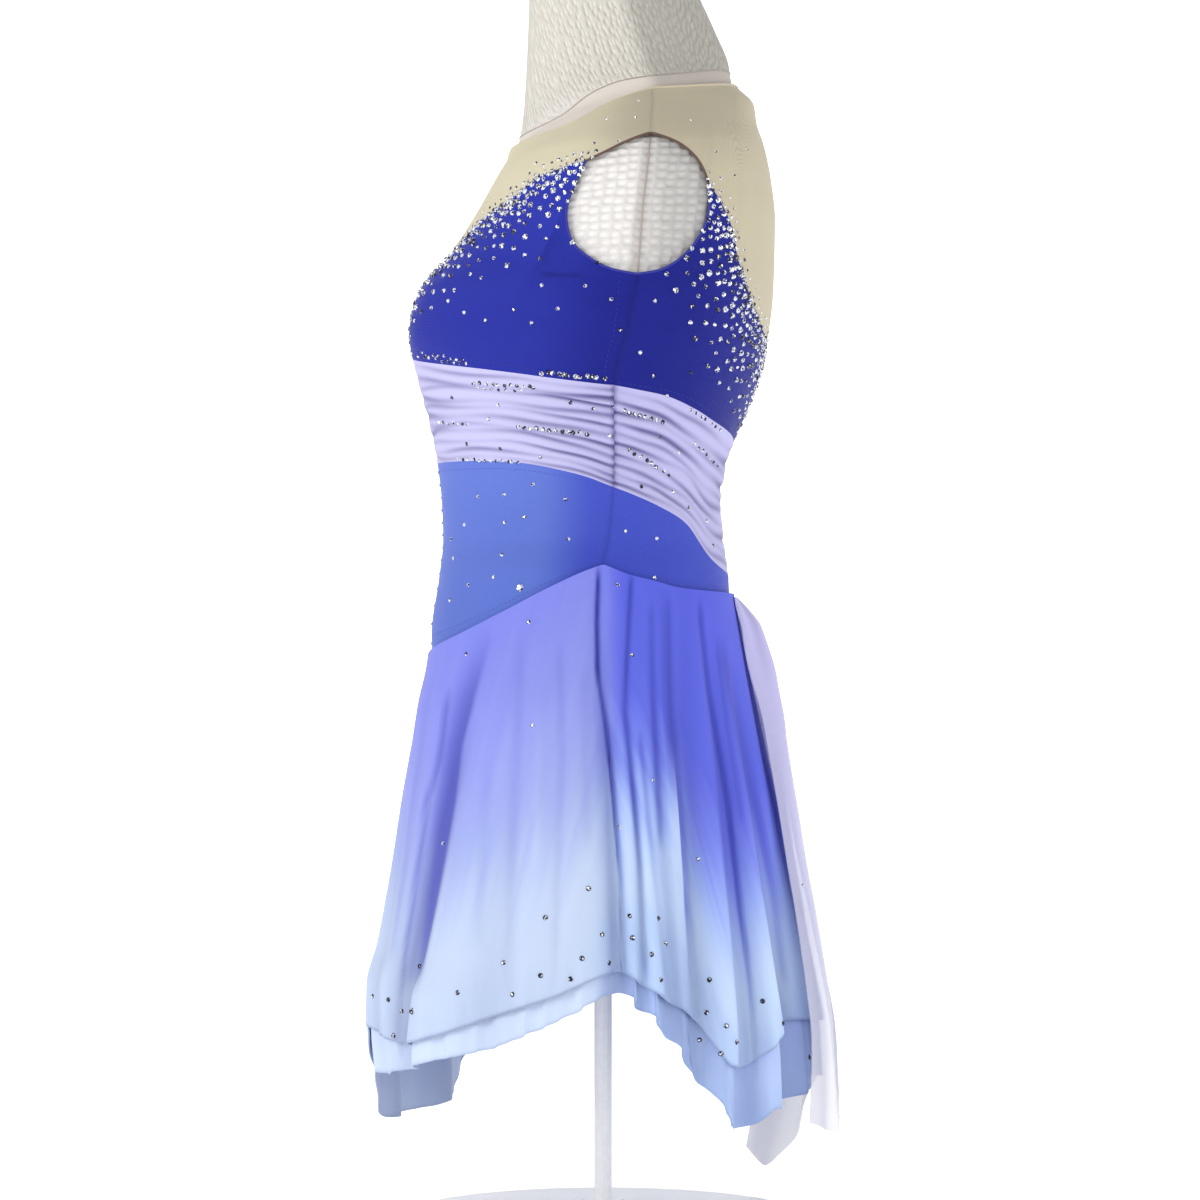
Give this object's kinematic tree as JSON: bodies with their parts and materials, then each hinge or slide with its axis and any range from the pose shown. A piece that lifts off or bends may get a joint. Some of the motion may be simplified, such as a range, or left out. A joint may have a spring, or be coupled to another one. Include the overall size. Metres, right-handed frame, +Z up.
{
  "type": "figure skating dress on a limbless dress form",
  "caption": "Sleeveless figure skating dress with mesh yoke, ruched waist, layered ombre skirt and back tails, worn by a limbless dress form on a counter stand.",
  "frame": {"origin": "on the counter, under the middle of the whole part", "axes": "+Z up, -Y the front of the dress, +X the wearer's left"},
  "size_m": [0.3926, 0.3303, 0.884],
  "materials": {
    "nude_mesh": "skin-toned stretch mesh, fine net, matt",
    "royal_jersey": "royal blue stretch jersey, soft sheen",
    "lavender_mesh": "lavender stretch mesh, ruched across",
    "periwinkle_jersey": "periwinkle stretch jersey, soft sheen",
    "ombre_mesh": "fine stretch mesh, dyed from periwinkle at the seam through lavender to pale blue at the hem",
    "pale_mesh": "fine stretch mesh of the under skirt, pale blue at the hem",
    "sheer_mesh": "sheer lavender mesh, half transparent, greyer at the tips",
    "form_cover": "off-white cover of a pebbled basket weave, matt",
    "stand_paint": "white satin paint"
  },
  "bodies": {
    "root": {"yoke_front": "nude_mesh", "yoke_back": "nude_mesh", "bodice_front": "royal_jersey", "bodice_back": "royal_jersey", "sash_front": "lavender_mesh", "sash_back": "lavender_mesh", "basque_front": "periwinkle_jersey", "basque_back": "periwinkle_jersey", "skirt_front": "ombre_mesh", "underskirt_front": "pale_mesh", "skirt_back": "ombre_mesh", "underskirt_back": "pale_mesh", "tail_left": "sheer_mesh", "tail_right": "sheer_mesh", "briefs_front": "periwinkle_jersey", "briefs_back": "periwinkle_jersey", "form_torso": "form_cover", "stand_rod_left": "stand_paint", "stand_rod_right": "stand_paint", "stand_base": "stand_paint"}
  },
  "joints": []
}
